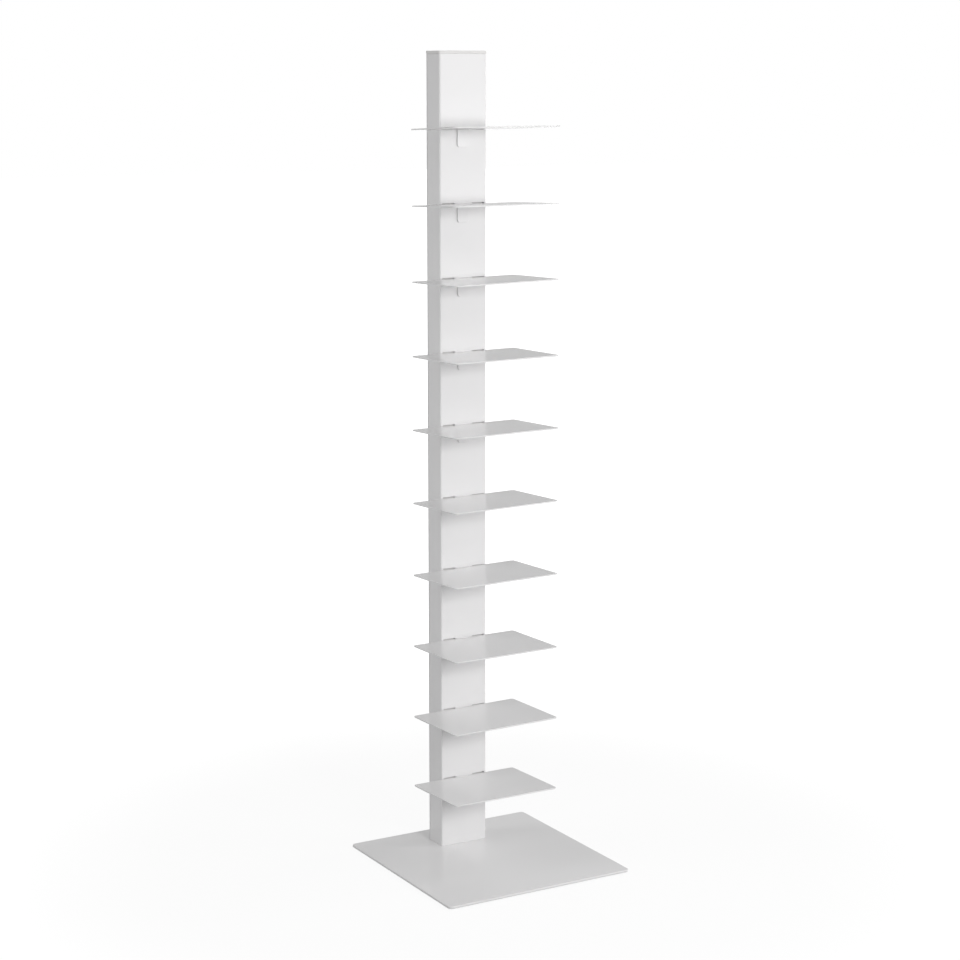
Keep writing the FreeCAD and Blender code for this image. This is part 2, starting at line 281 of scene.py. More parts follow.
# %% [markdown]
# ## White powder coat
# The base, the column and the shelves are the same white, but not quite the same skin. The base's
# plate is thick and heats slowly, so its coat flows out longer and is the flattest. The column's
# thin sheet keeps the most orange peel. The shelves and the base lie flat, so they gather dust.
#
# One function makes all three, with the values that differ. Two near whites are mixed by the drift,
# because a single flat white looks like plastic. Behind the column's front the shelves' hooks are
# painted a dark steel colour, which is painted shade, so that the slots show a dark line.

# %% Powder coat
COAT_WHITE = (0.80, 0.795, 0.797)
COAT_SHADE = (0.785, 0.781, 0.785)
DUST_COLOUR = (0.70, 0.69, 0.68)
DUST_ROUGHNESS = 0.25  # that full dust adds to the coat's
# Dark steel colour for the hooks behind the column's front: painted shade in the slots.
SLOT_SHADE_STEEL_COLOUR = (0.56, 0.555, 0.55)
SLOT_SHADE_ROUGHNESS = 0.3  # that the painted slot shade adds to the coat's
SLOT_SHADE_METALLIC = 0.2
SLOT_SHADE_FADE = 0.5 * MM  # width of the painted shade's ragged border
SLOT_SHADE_RAGS_PER_METRE = 700.0  # along that border


def shade_painted(tree, depth):
    """Mask of painted shade: 1 where the object's y is past depth, fading in over the fade width set
    above, with a ragged border.
    """
    place = own_place(tree)
    parts = add(tree, "SeparateXYZ", {0: place})
    ragged = multiply(tree, noise(tree, place, SLOT_SHADE_RAGS_PER_METRE), SLOT_SHADE_FADE)
    y = arithmetic(tree, "ADD", parts.outputs["Y"], ragged)
    return remap(tree, y, depth, depth + SLOT_SHADE_FADE)


def powder_coat(name, roughness, wave_height, dust_amount, slot_shade_past=None):
    """White semi-gloss powder coat. roughness is (least, most), wave_height the orange peel's. Past
    the depth given as its last argument, it takes a dark steel colour that is painted shade."""
    material, tree, shader = new_material(name)
    drift = place_group(tree, "drift")
    dust = place_group(tree, "dust", Amount=dust_amount)
    peel = place_group(tree, "orange_peel", Wave_height=wave_height)
    white = blend_colours(tree, drift.outputs["Tone"], COAT_WHITE, COAT_SHADE)
    dusty = blend_colours(tree, dust.outputs["Mask"], white, DUST_COLOUR)
    gloss = remap(tree, drift.outputs["Gloss"], 0.0, 1.0, *roughness)
    dull = multiply(tree, dust.outputs["Mask"], DUST_ROUGHNESS)
    if slot_shade_past is not None:
        # Painted shade: past that depth the coat turns to a dark steel colour.
        slot_shade = shade_painted(tree, slot_shade_past)
        dusty = blend_colours(tree, slot_shade, dusty, SLOT_SHADE_STEEL_COLOUR)
        dull = arithmetic(tree, "ADD", dull, multiply(tree, slot_shade, SLOT_SHADE_ROUGHNESS))
        plug(tree, shader, {"Metallic": multiply(tree, slot_shade, SLOT_SHADE_METALLIC)})
    rough = arithmetic(tree, "ADD", gloss, dull)
    looks = {"Base Color": dusty, "Roughness": rough, "Normal": peel.outputs["Normal"], "IOR": 1.5}
    plug(tree, shader, looks)
    return material


column_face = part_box("column_channel")[0].y
# Where the painted shade on the hooks begins, just behind the column's front.
slot_shade_start = column_face + 0.4 * MM
base_coat = powder_coat("base_coat", (0.19, 0.22), wave_height=0.0000012, dust_amount=0.12)
column_coat = powder_coat("column_coat", (0.24, 0.27), wave_height=0.0000022, dust_amount=0.05)
shelf_coat = powder_coat("shelf_coat", (0.165, 0.19), 0.0000016, 0.1, slot_shade_past=slot_shade_start)
print("the hooks are rubbed past y =", round(slot_shade_start, 4))

# %% [markdown]
# ## Moulded plastic, rubber and zinc
# The cap is moulded in a steel tool whose surface was etched by sparks, which leaves a fine, dry
# grain. It is warmer and duller than the coat beside it. The pads are black rubber with a coarser
# skin. The fasteners are plated with zinc, whose clear film turns faintly blue and yellow.

# %% A moulded or plated finish
def grained(name, colours, roughness, patches, specks, looks, **grain):
    """Material whose colour and roughness drift between two values each, under a bumped grain.
    patches and specks are the drift's, per metre, looks the shader's other values, and grain the
    orange peel's own."""
    material, tree, shader = new_material(name)
    drift = place_group(tree, "drift", Patches_per_metre=patches, Specks_per_metre=specks)
    bumps = place_group(tree, "orange_peel", **grain)
    colour = blend_colours(tree, drift.outputs["Tone"], *colours)
    gloss = remap(tree, drift.outputs["Gloss"], 0.0, 1.0, *roughness)
    looks = {"Base Color": colour, "Roughness": gloss, "Normal": bumps.outputs["Normal"], **looks}
    plug(tree, shader, looks)
    print("finish:", name)
    return material


# %% Cap plastic
CAP_COLOURS = ((0.80, 0.79, 0.78), (0.76, 0.75, 0.74))
CAP_GRAIN = {"Waves_per_metre": 2600.0, "Grain_per_metre": 7000.0, "Wave_height": 0.000004}
look = ((0.42, 0.52), 25.0, 300.0, {"IOR": 1.49})
cap_plastic = grained("cap_plastic", CAP_COLOURS, *look, **CAP_GRAIN)

# %% Pad rubber
RUBBER_COLOURS = ((0.028, 0.028, 0.03), (0.06, 0.058, 0.056))
RUBBER_GRAIN = {"Waves_per_metre": 1500.0, "Wave_height": 0.00003}
pad_rubber = grained("pad_rubber", RUBBER_COLOURS, (0.7, 0.9), 90.0, 900.0, {}, **RUBBER_GRAIN)

# %% Zinc plating
ZINC_COLOURS = ((0.60, 0.63, 0.67), (0.68, 0.66, 0.60))
ZINC_GRAIN = {"Waves_per_metre": 3000.0, "Grain_per_metre": 9000.0, "Wave_height": 0.000004}
look = ((0.24, 0.4), 160.0, 1400.0, {"Metallic": 1.0})
zinc_plate = grained("zinc_plate", ZINC_COLOURS, *look, **ZINC_GRAIN)

# %% Give every node of the construction model its finish
finishes = {
    "base_finish": base_coat,
    "column_finish": column_coat,
    "shelf_finish": shelf_coat,
    "cap_plastic": cap_plastic,
    "pad_rubber": pad_rubber,
    "zinc_steel": zinc_plate,
}
slot_of = {part["node"]: part["material_slot"] for part in frame["record"]["subparts"]}
for name, node in frame["nodes"].items():
    node.data.materials.clear()
    node.data.materials.append(finishes[slot_of[name]])
print("finished nodes:", len(slot_of))

# %% [markdown]
# ## The shelves
# A real shelf is one flat blank, cut by laser from steel sheet 2.5 mm thick, with three tongues at
# its back edge. A press bends the outer two up into hooks and the middle one down into a prop, each
# a little off square, so that the shelf climbs slightly to its front edge and books stay against the
# column. The coat then rounds all its edges.
#
# The same order works here. First the flat outline, with an arc at each corner. Then rings that
# carry the outline round the sheet's edge, which gives the rounded rim. Then a bend, which is a
# formula that rolls every point past a line round a cylinder. Building the bent shape directly
# would need a different surface for each tongue, and a Bevel modifier on the construction model's
# triangles leaves creases at the bends.

# %% The flat outline
def rounded_outline(corners):
    """Closed outline with rounded corners, from an array of (x, y, radius, steps), anticlockwise.
    At a corner with a radius, the arc's outward normal turns evenly from one side's to the next, and
    a point is the arc's centre plus radius times that normal. At a hollow corner the centre lies
    outside and the radius counts as negative. A corner of radius 0 is a plain point on a side.
    Returns the points (n, 2) and their outward normals (n, 2)."""
    places = np.array([corner[:2] for corner in corners])
    sides = np.roll(places, -1, 0) - places
    sides /= np.linalg.norm(sides, axis=1, keepdims=True)
    headings = np.arctan2(sides[:, 1], sides[:, 0])
    points, normals = [], []
    for (x, y, radius, steps), arriving, leaving in zip(corners, np.roll(headings, 1), headings):
        turn = (leaving - arriving + math.pi) % (2 * math.pi) - math.pi
        shares = np.linspace(0, 1, steps + 1) if radius else np.array([0.5])
        outward = arriving - math.pi / 2 + turn * shares
        normal = np.stack((np.cos(outward), np.sin(outward)), 1)
        signed = math.copysign(radius, turn)
        setback = signed * math.tan(turn / 2)
        tangent = np.array((x - setback * math.cos(arriving), y - setback * math.sin(arriving)))
        centre = tangent - signed * normal[0] if radius else np.array((x, y))
        points.append(centre + signed * normal if radius else np.array([[x, y]]))
        normals.append(normal)
    return np.concatenate(points), np.concatenate(normals)


# %% The rounded rim
EDGE_STEPS = 4
FLAT_MARGIN = 0.15 * MM  # a flat strip inside the rounding keeps the faces' shading flat


def sheet_rings(outline, normals, thickness, radius):
    """Rings that carry an outline round a sheet's edge, from its underside to its top. At the angle a
    a ring lies radius * (1 - cos a) inside the outline and radius * sin a past the rounding's
    centre. Returns an array (rings, n, 3) whose third number is the height over mid-sheet."""
    quarter = np.linspace(0, math.pi / 2, EDGE_STEPS + 1)
    angles = np.concatenate((-quarter[::-1], quarter))
    side = np.repeat((-1, 1), EDGE_STEPS + 1)
    inset = radius * (1 - np.cos(angles))
    height = radius * np.sin(angles) + side * (thickness / 2 - radius)
    inset = np.concatenate(([radius + FLAT_MARGIN], inset, [radius + FLAT_MARGIN]))
    height = np.concatenate(([-thickness / 2], height, [thickness / 2]))
    flat = outline[None] - inset[:, None, None] * normals[None]
    return np.concatenate((flat, np.broadcast_to(height[:, None, None], flat.shape[:2] + (1,))), 2)


# %% The bend
def bend(points, start, radius, turn):
    """Rolls what lies past y = start round a cylinder along x, through turn radians, upwards where
    turn is above 0 and downwards where it is below. radius is that of mid-sheet. At the distance d
    past start, a point at the height h sits at the angle d / radius on a circle of radius - h, or
    radius + h on the way down, and past the turn it goes straight on."""
    x, y, h = points[..., 0], points[..., 1], points[..., 2]
    way, total = math.copysign(1.0, turn), abs(turn)
    distance = y - start
    angle = np.clip(distance / radius, 0, total)
    beyond = np.maximum(distance - radius * total, 0)
    reach = radius - way * h
    bent_y = start + np.minimum(distance, 0) + reach * np.sin(angle) + beyond * math.cos(total)
    bent_z = way * (radius - reach * np.cos(angle) + beyond * math.sin(total))
    return np.stack((x, bent_y, bent_z), -1)


# %% Sizes of the shelf and its tongues
SHEET = 2.5 * MM
SHEET_EDGE = 0.3 * MM  # radius of its coated edge
PLATE_CORNER = 6.0 * MM
REAR_GAP = 1.5 * MM  # plate's back edge to the column
SLOT_CENTRE = 34.5 * MM  # of each slot, from the column's middle
HOOK_WIDTH = 24.6 * MM
HOOK_HEIGHT = 14.0 * MM  # above the plate's top
HOOK_CORNER = 4.0 * MM
HOOK_INSIDE = 1.0 * MM  # inside radius of the hook's bend
TAB_WIDTH = 26.0 * MM
TAB_CORNER = 5.0 * MM
TAB_INSIDE = 1.5 * MM
TAB_PLAY = 0.3 * MM  # tab to the column
RELIEF = 2.0 * MM  # width of the notches beside the tab
CUT_RADIUS = 0.8 * MM  # least radius of the cutter's path
BEND_STEPS, CUT_STEPS, TIP_STEPS, CORNER_STEPS = 8, 3, 6, 10
SEAT_PLAY = 0.3 * MM  # neck to its slot's lower edge
LEAST_PLAY = 0.05 * MM  # what a shelf's roll may leave of it

hook_radius = HOOK_INSIDE + SHEET / 2
tab_radius = TAB_INSIDE + SHEET / 2
hinge_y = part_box("shelf_01")[1].y - SHEET - HOOK_INSIDE


def tab_bend(rise):
    """Where the tab's bend starts on a blank that will climb by rise, and how far its axis then hangs
    under the hinge. It is hook_radius + tab_radius under it while the blank is level, and the tilt
    brings it to its place in front of the column."""
    drop = hook_radius + tab_radius
    axis_y = column_face - TAB_PLAY - SHEET - TAB_INSIDE
    start = hinge_y + (axis_y - hinge_y + drop * math.sin(rise)) / math.cos(rise)
    return start, (start - hinge_y) * math.sin(rise) + drop * math.cos(rise)


# A press never bends two blanks quite alike, and a shelf lies a little askew in its slots. For each
# shelf from the lowest up: the degrees by which it climbs to its front edge, and those by which its
# right side is high.
SEATS = [
    (1.65, 0.0), (1.2, 0.8), (1.3, 0.5), (2.0, 0.95), (2.3, 1.0),
    (2.15, 0.65), (1.2, 0.6), (1.6, 0.85), (2.2, 0.1), (2.55, -0.1),
]
shelf_names = sorted(name for name in frame["nodes"] if name.startswith("shelf_"))
print("a shelf swings about y =", round(hinge_y, 4))


# %% The blank's outline
def tongue(centre, width, root, bend_start, arc, tip, corner):
    """Corners of a tongue, up its right side and down its left. arc is its bend's length along
    mid-sheet. The points along its sides are in pairs, one of each at the same y, so that rungs can
    join them."""
    along = [root + CUT_RADIUS] if bend_start > root + 2 * CUT_RADIUS else []
    along += list(np.linspace(bend_start, bend_start + arc, BEND_STEPS + 1))
    right, left = centre + width / 2, centre - width / 2
    rise = [(right, y, 0, 0) for y in along]
    fall = [(left, y, 0, 0) for y in reversed(along)]
    return rise + [(right, tip, corner, TIP_STEPS), (left, tip, corner, TIP_STEPS)] + fall


def blank(width, front, tab_foot, rise):
    """Runs of corners of the flat blank: plate, right hook, notch, tab, notch, left hook, plate.
    tab_foot is how far the tab's foot hangs under the hinge, and rise how far the shelf climbs."""
    back = column_face - REAR_GAP
    tab_start, tab_axis_drop = tab_bend(rise)
    tab_leg = tab_foot - tab_axis_drop
    notch = tab_start - CUT_RADIUS
    hook_arc, tab_arc = hook_radius * (math.pi / 2 + rise), tab_radius * (math.pi / 2 - rise)
    hook_tip = hinge_y + hook_arc + HOOK_HEIGHT - HOOK_INSIDE
    hooks = [
        tongue(side * SLOT_CENTRE, HOOK_WIDTH, back, hinge_y, hook_arc, hook_tip, HOOK_CORNER)
        for side in (1, -1)
    ]
    tab = tongue(0.0, TAB_WIDTH, notch, tab_start, tab_arc, tab_start + tab_arc + tab_leg, TAB_CORNER)
    half = width / 2
    outer, inner = SLOT_CENTRE + HOOK_WIDTH / 2, SLOT_CENTRE - HOOK_WIDTH / 2
    edge, relief = TAB_WIDTH / 2, TAB_WIDTH / 2 + RELIEF
    cut = (CUT_RADIUS, CUT_STEPS)
    round_corner = (PLATE_CORNER, CORNER_STEPS)
    plate = [(-half, front, *round_corner), (half, front, *round_corner), (half, back, *round_corner)]
    right = [(inner, back, *cut), (relief, back, *cut), (relief, notch, *cut), (edge, notch, *cut)]
    left = [(-x, y, radius, steps) for x, y, radius, steps in reversed(right)]
    last = [(-outer, back, *cut), (-half, back, *round_corner)]
    return [plate + [(outer, back, *cut)], hooks[0], right, tab, left, hooks[1], last]


# %% Cut, round and bend the ten blanks
def outline_numbers(runs):
    """For each run of corners, the numbers of the outline points that it gives."""
    counts = [sum(corner[3] + 1 if corner[2] else 1 for corner in run) for run in runs]
    ends = np.cumsum([0] + counts)
    return [np.arange(a, b) for a, b in zip(ends, ends[1:])]


def seat(points, middle, hinge_z, rise, roll):
    """Turns points about the hinge's axis by the shelf's rise, then in the column's plane by its
    roll, and lifts them to hinge_z at the middle. A roll lifts the shelf as well, once its lower hook
    has used up the play to its slot."""
    x, y, z = points[..., 0], points[..., 1] - hinge_y, points[..., 2] - hook_radius
    back = hinge_y + y * math.cos(rise) + z * math.sin(rise)
    height = z * math.cos(rise) - y * math.sin(rise)
    dip = (SLOT_CENTRE + HOOK_WIDTH / 2) * math.sin(abs(roll))
    lift = max(dip - (SEAT_PLAY - LEAST_PLAY), 0.0)
    across = middle + x * math.cos(roll) - height * math.sin(roll)
    up = hinge_z + lift + x * math.sin(roll) + height * math.cos(roll)
    return np.stack((across, back, up), -1)


def hinge_height(name):
    """Height of the axis on which the shelf with that node's name swings."""
    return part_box(name)[1].z - HOOK_HEIGHT + HOOK_INSIDE


def make_shelf(name, *angles):
    """One shelf, bent from its blank, at the place of the node with that name. Its rise and its roll
    are in degrees."""
    low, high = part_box(name)
    hinge_z = hinge_height(name)
    rise, roll = (math.radians(angle) for angle in angles)
    runs = blank(high.x - low.x, low.y, hinge_z - low.z, rise)
    points, normals = rounded_outline([corner for run in runs for corner in run])
    rings = sheet_rings(points, normals, SHEET, SHEET_EDGE)
    numbers = outline_numbers(runs)
    tongues = (numbers[1], numbers[3], numbers[5])
    hook = (hinge_y, hook_radius, math.pi / 2 + rise)
    tab = (tab_bend(rise)[0], tab_radius, rise - math.pi / 2)
    for which, way in zip(tongues, (hook, tab, hook)):
        rings[:, which] = bend(rings[:, which], *way)
    count = len(points)
    faces = list(grid_faces(len(rings), count, closed=True))
    top = (len(rings) - 1) * count
    inside_tongues = np.concatenate([which[1:-1] for which in tongues])
    plate = np.setdiff1d(np.arange(count), inside_tongues)
    faces += [plate + top, plate[::-1]]
    for which in tongues:
        back = which[::-1]
        rungs = np.stack((which[:-1], which[1:], back[1:], back[:-1]), 1)[: len(which) // 2]
        faces += list(rungs + top) + list(rungs[:, ::-1])
    rings = seat(rings, (high.x + low.x) / 2, hinge_z, rise, roll)
    make_piece(name + "_sheet", rings, faces, shelf_coat, name, "shelf_finish", replaces=name)


for name, angles in zip(shelf_names, SEATS):
    make_shelf(name, *angles)

# %% [markdown]
# ## The column's sheet
# The column is one sheet, cut flat with its twenty slots and folded into a channel with two lips.
# Each slot's edge is rounded only by its coat, and catches a thin line of light.
#
# A grid of points runs along the channel's section and up its height, with lines at the slots'
# edges, and the cells inside the slots are left out. Solidify gives the sheet its thickness, Bevel
# the coated edge, and Weighted Normal keeps the wide faces flat beside the narrow bends. Boolean
# cutters would make the same slots, but leave long thin triangles that shade in streaks.

# %% The column's section
COLUMN_SHEET = 1.2 * MM
COLUMN_BEND = 2.5 * MM  # outside radius of the bends
COLUMN_BEND_STEPS = 6
LIP_WIDTH = 16.0 * MM
SLOT_WIDTH = 28.0 * MM
SLOT_HEIGHT = 5.0 * MM
SLOT_DROP = HOOK_INSIDE + SHEET + SEAT_PLAY  # from a shelf's hinge axis to its slots' lower edges
COAT_EDGE = 0.25 * MM

column_low, column_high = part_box("column_channel")


def column_section():
    """Points (n, 2) along the outside of the section, from one lip's edge round to the other's, with
    an arc at each bend and a point at each slot's edge."""
    left, right = column_low.x, column_high.x
    front, back = column_low.y, column_high.y
    arc = (COLUMN_BEND, COLUMN_BEND_STEPS)
    slot_edges = [side * SLOT_CENTRE + end * SLOT_WIDTH / 2 for side in (-1, 1) for end in (-1, 1)]
    corners = [(left + LIP_WIDTH, back, 0, 0), (left, back, *arc), (left, front, *arc)]
    corners += [(x, front, 0, 0) for x in slot_edges]
    corners += [(right, front, *arc), (right, back, *arc), (right - LIP_WIDTH, back, 0, 0)]
    return rounded_outline(corners)[0]


# %% The folded and slotted sheet
def make_column():
    """The column's sheet. A point is one of the section's, at one of the heights where slots begin or
    end."""
    section = column_section()
    sills = np.array([hinge_height(name) - SLOT_DROP for name in shelf_names])
    heights = np.sort(np.concatenate(([column_low.z, column_high.z], sills, sills + SLOT_HEIGHT)))
    across = np.broadcast_to(section, (len(heights),) + section.shape)
    up = np.broadcast_to(heights[:, None, None], across.shape[:2] + (1,))
    points = np.concatenate((across, up), 2)
    faces = grid_faces(*points.shape[:2])
    x, y, z = points.reshape(-1, 3)[faces].mean(1).T
    in_slot = np.isclose(y, column_low.y) & (np.abs(np.abs(x) - SLOT_CENTRE) < SLOT_WIDTH / 2)
    in_slot &= ((z[:, None] > sills) & (z[:, None] < sills + SLOT_HEIGHT)).any(1)
    faces = faces[~in_slot]
    sheet = ("column_sheet", points, faces, column_coat, "spine", "column_finish")
    return make_piece(*sheet, replaces="column_channel")


column = make_column()
thickness = column.modifiers.new("thickness", "SOLIDIFY")
thickness.thickness = COLUMN_SHEET
thickness.offset = -1.0
thickness.use_even_offset = True
edge = column.modifiers.new("coated edge", "BEVEL")
edge.width = COAT_EDGE
edge.segments = 2
edge.limit_method = "ANGLE"
edge.angle_limit = math.radians(50)
flat = column.modifiers.new("flat faces", "WEIGHTED_NORMAL")
flat.weight = 100
flat.keep_sharp = False

# %% [markdown]
# ## The base plate
# The base is a steel plate 5 mm thick, cut with round corners. Its edges are ground before the coat
# goes on, so they roll over softly and carry a thin bright line. Four countersunk holes let the
# column's bolts in from below.
#
# The shelves' helpers give it an outline with round corners and the rings round its edge. Its two
# flat faces have holes, so Blender's polygon filler fills them with triangles, and each hole's wall
# is a grid between the circles at its ends.

# %% Base plate
BASE_CORNER = 9.0 * MM
BASE_CORNER_STEPS = 16
BASE_EDGE = 1.4 * MM
BOLT_HEAD = (6.0 * MM, 3.0 * MM)  # radius and height of a bolt's cone
HOLE_RADIUS = 3.3 * MM
SINK_RADIUS = 6.35 * MM  # of a countersink's mouth
HOLE_STEPS = 48

bolts_low, bolts_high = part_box("base_bolts")
bolt_places = [
    (x, y, bolts_low.z)
    for x in (bolts_low.x + BOLT_HEAD[0], bolts_high.x - BOLT_HEAD[0])
    for y in (bolts_low.y + BOLT_HEAD[0], bolts_high.y - BOLT_HEAD[0])
]


def holes(places, low, high):
    """Circles (holes, 3, n, 3) of countersunk holes: the mouth, the cone's end and the far edge."""
    angle = np.linspace(0, 2 * math.pi, HOLE_STEPS, endpoint=False)
    radii = np.array([SINK_RADIUS, HOLE_RADIUS, HOLE_RADIUS])[:, None]
    heights = np.array([low, low + SINK_RADIUS - HOLE_RADIUS, high])[:, None] + 0 * angle
    circle = np.stack((radii * np.cos(angle), radii * np.sin(angle), heights), -1)
    return np.array([circle + np.array((x, y, 0.0)) for x, y, _ in places])


def filled(points, loops):
    """Triangles over the flat region inside the first loop of point numbers and outside the rest."""
    triangles = tessellate_polygon([[Vector(points[number]) for number in loop] for loop in loops])
    return np.concatenate(loops)[np.array(triangles)]


def make_base():
    """The plate: rings round its edge, four holes and two filled faces."""
    low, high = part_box("base_plate")
    x, y, thickness = high.x, high.y, high.z - low.z
    corners = [(-x, -y), (x, -y), (x, y), (-x, y)]
    outline = rounded_outline([(*corner, BASE_CORNER, BASE_CORNER_STEPS) for corner in corners])
    rings = sheet_rings(*outline, thickness, BASE_EDGE) + np.array((0.0, 0.0, low.z + thickness / 2))
    circles = holes(bolt_places, low.z, high.z)
    points = np.concatenate((rings.reshape(-1, 3), circles.reshape(-1, 3)))
    count = len(outline[0])
    numbers = len(rings) * count + np.arange(circles.size // 3).reshape(circles.shape[:3])
    edge = np.arange(count)
    faces = [grid_faces(len(rings), count, closed=True)]
    faces += [grid_faces(3, HOLE_STEPS, closed=True) + hole[0, 0] for hole in numbers]
    faces += [filled(points, [edge] + list(numbers[:, 0]))]
    faces += [filled(points, [edge + (len(rings) - 1) * count] + list(numbers[:, 2]))]
    faces = [face for group in faces for face in group]
    plate = ("base_plate_coated", points, faces, base_coat, "spine", "base_finish")
    make_piece(*plate, replaces="base_plate")


make_base()

# %% [markdown]
# ## Screws, bolts and nuts
# The back panel is held by pan-head sheet screws with a cross recess. The column stands on four
# countersunk bolts with hexagon sockets, whose nuts sit on the folded sole inside it. A ribbed rivet
# nut near the top takes the screw of a wall strap.
#
# Each is turned: a profile runs from one pole to the other, and the distance to the axis may vary
# with the angle. A thread is a wave that climbs by one pitch in a turn. A recess is a dip in the
# head's face wherever a point lies inside the driver's outline. A nut's side is the smaller of a
# hexagon and a cone. So one helper makes them all.

# %% Turned surfaces
def evenly(start, stop, count):
    """Column (count, 1) of values from start to stop."""
    return np.linspace(start, stop, count)[:, None]


def round_axis(around, whole=2 * math.pi):
    """Row (1, around) of the angles of a turn, or of its shares where whole is 1."""
    return np.linspace(0, whole, around, endpoint=False)[None]


def ramp(value, width):
    """0 where value is below 0, 1 where it is past width, and even between."""
    return np.clip(value / width, 0, 1)


def turned(rows, around):
    """Points (rows, around, 3) of a surface round the z axis. rows is a list of pairs (radius,
    height), each an array (n, 1) or (n, around) with one row per ring."""
    angle = round_axis(around)
    radius = np.concatenate([r + 0 * h + 0 * angle for r, h in rows])
    height = np.concatenate([h + 0 * r + 0 * angle for r, h in rows])
    return np.stack((radius * np.cos(angle), radius * np.sin(angle), height), -1)


def ring(radius, height):
    """One row of a turned surface."""
    return np.array([[radius]]), np.array([[height]])


def thread(height, around, root, crest, pitch):
    """Distance to the axis at each height and angle of a thread: from root to crest and back as
    height / pitch minus the share of a turn goes through a whole number."""
    wave = 1 - np.abs(2 * ((height / pitch - round_axis(around, 1)) % 1) - 1)
    return root + (crest - root) * wave


def copies(surface, places):
    """Points and faces of a turned surface repeated at each place (n, 3)."""
    rows, around = surface.shape[:2]
    grid = grid_faces(rows, around, closed=True)
    points = surface[None] + np.asarray(places)[:, None, None]
    numbers = np.arange(len(places)) * rows * around
    return points, (grid[None] + numbers[:, None, None]).reshape(-1, 4)


def facing_back(surface):
    """The surface with its z axis turned to +y, the way the back panel faces."""
    x, y, z = surface[..., 0], surface[..., 1], surface[..., 2]
    return np.stack((x, z, -y), -1)


def make_fasteners(name, surface, places, node):
    """Zinc-plated copies of a surface at the places, which stand for a node."""
    points, faces = copies(surface, places)
    make_piece(name, points, faces, zinc_plate, "spine", "zinc_steel", replaces=node)


# %% The back panel's screws
SCREW_HEAD = (4.0 * MM, 2.4 * MM)  # radius and height
SCREW_EASE = 0.1 * MM  # its seat ends this far inside its edge
RIM_END = 1.2  # angle at which its rim's rings end
SCREW_CORE, SCREW_CREST = 1.25 * MM, 1.75 * MM
SCREW_PITCH = 1.3 * MM
SCREW_LENGTH = 9.0 * MM
SCREW_POINT = 3.0 * MM  # length of its tapered end
CROSS_REACH, CROSS_WIDTH, CROSS_DEPTH = 2.2 * MM, 1.0 * MM, 1.5 * MM
CROSS_WALL, CROSS_RUN_OUT = 0.15 * MM, 0.9 * MM  # over which its sides and its ends slope
SCREW_ROWS = 5


def dome(radius):
    """Height of the pan head over its seat at a distance from the axis: a quartic dome."""
    return SCREW_HEAD[1] * np.sqrt(np.maximum(1 - (radius / SCREW_HEAD[0]) ** 4, 0))


def cross_recess(radius, around):
    """Depth of the cross recess: full where a point is near one arm's centre line, and running out
    towards the arms' ends."""
    angle = round_axis(around)
    x, y = np.abs(radius * np.cos(angle)), np.abs(radius * np.sin(angle))
    wall = ramp(CROSS_WIDTH / 2 - np.minimum(x, y), CROSS_WALL)
    return CROSS_DEPTH * wall * ramp(CROSS_REACH - np.maximum(x, y), CROSS_RUN_OUT)


def screw_surface(around=64, thread_rings=44, rim_rings=9, face_rings=26):
    """Pan-head screw from its point up its thread, under its head, over the dome and down into the
    recess. Its seat is at height 0."""
    z = evenly(-SCREW_LENGTH, 0, thread_rings)
    taper = ramp(z + SCREW_LENGTH, SCREW_POINT)
    ridge = thread(z, around, 0.0, SCREW_CREST - SCREW_CORE, SCREW_PITCH)
    shank = ridge * taper * ramp(-z, SCREW_PITCH) + SCREW_CORE * taper
    rim = SCREW_HEAD[0] * np.cos(evenly(0, RIM_END, rim_rings)) ** 0.5
    face = evenly(rim[-1, 0], 0, face_rings)[1:]
    rows = [(shank, z), ring(SCREW_HEAD[0] - SCREW_EASE, 0.0), (rim, dome(rim))]
    rows += [(face, dome(face) - cross_recess(face, around))]
    return turned(rows, around)


low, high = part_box("panel_screws")
side = high.x - SCREW_HEAD[0]
levels = np.linspace(low.z + SCREW_HEAD[0], high.z - SCREW_HEAD[0], SCREW_ROWS)
places = [(x, high.y - SCREW_HEAD[1], z) for z in levels for x in (-side, side)]
make_fasteners("screws_with_thread", facing_back(screw_surface()), places, "panel_screws")

# %% The base's countersunk bolts
BOLT_ROOT, BOLT_CREST = 2.5 * MM, 3.0 * MM
BOLT_PITCH = 1.0 * MM
BOLT_LENGTH = 16.0 * MM
BOLT_EDGE = 0.15 * MM  # height of the straight edge round its face
BOLT_NECK = 0.1 * MM  # step between its cone and its thread
SOCKET_FLATS, SOCKET_DEPTH = 4.0 * MM, 2.0 * MM
SOCKET_WALL = 0.12 * MM  # over which its sides slope
END_CHAMFER = 0.7 * MM


def socket_recess(radius, around):
    """Depth of a hexagon socket: full where the point's greatest distance along the three directions
    across the flats is less than half the flats."""
    turns = (0, math.pi / 3, 2 * math.pi / 3)
    across = np.max([np.abs(radius * np.cos(round_axis(around) - turn)) for turn in turns], axis=0)
    return SOCKET_DEPTH * ramp(SOCKET_FLATS / 2 - across, SOCKET_WALL)


def bolt_surface(around=60, thread_rings=96, face_rings=40):
    """Countersunk bolt from its socket's floor out over its face, up the cone and along the thread.
    Its face is at height 0 and looks down."""
    face = evenly(0, BOLT_HEAD[0] - BOLT_EDGE, face_rings)
    z = evenly(BOLT_HEAD[1], BOLT_LENGTH, thread_rings)
    run_out = ramp(z - BOLT_HEAD[1], BOLT_PITCH) * ramp(BOLT_LENGTH - z, END_CHAMFER)
    shank = BOLT_ROOT + thread(z, around, 0.0, BOLT_CREST - BOLT_ROOT, BOLT_PITCH) * run_out
    rows = [(face, socket_recess(face, around)), ring(BOLT_HEAD[0], BOLT_EDGE)]
    rows += [ring(BOLT_ROOT + BOLT_NECK, BOLT_HEAD[1] - BOLT_NECK), (shank, z)]
    return turned(rows + [ring(0.0, BOLT_LENGTH)], around)


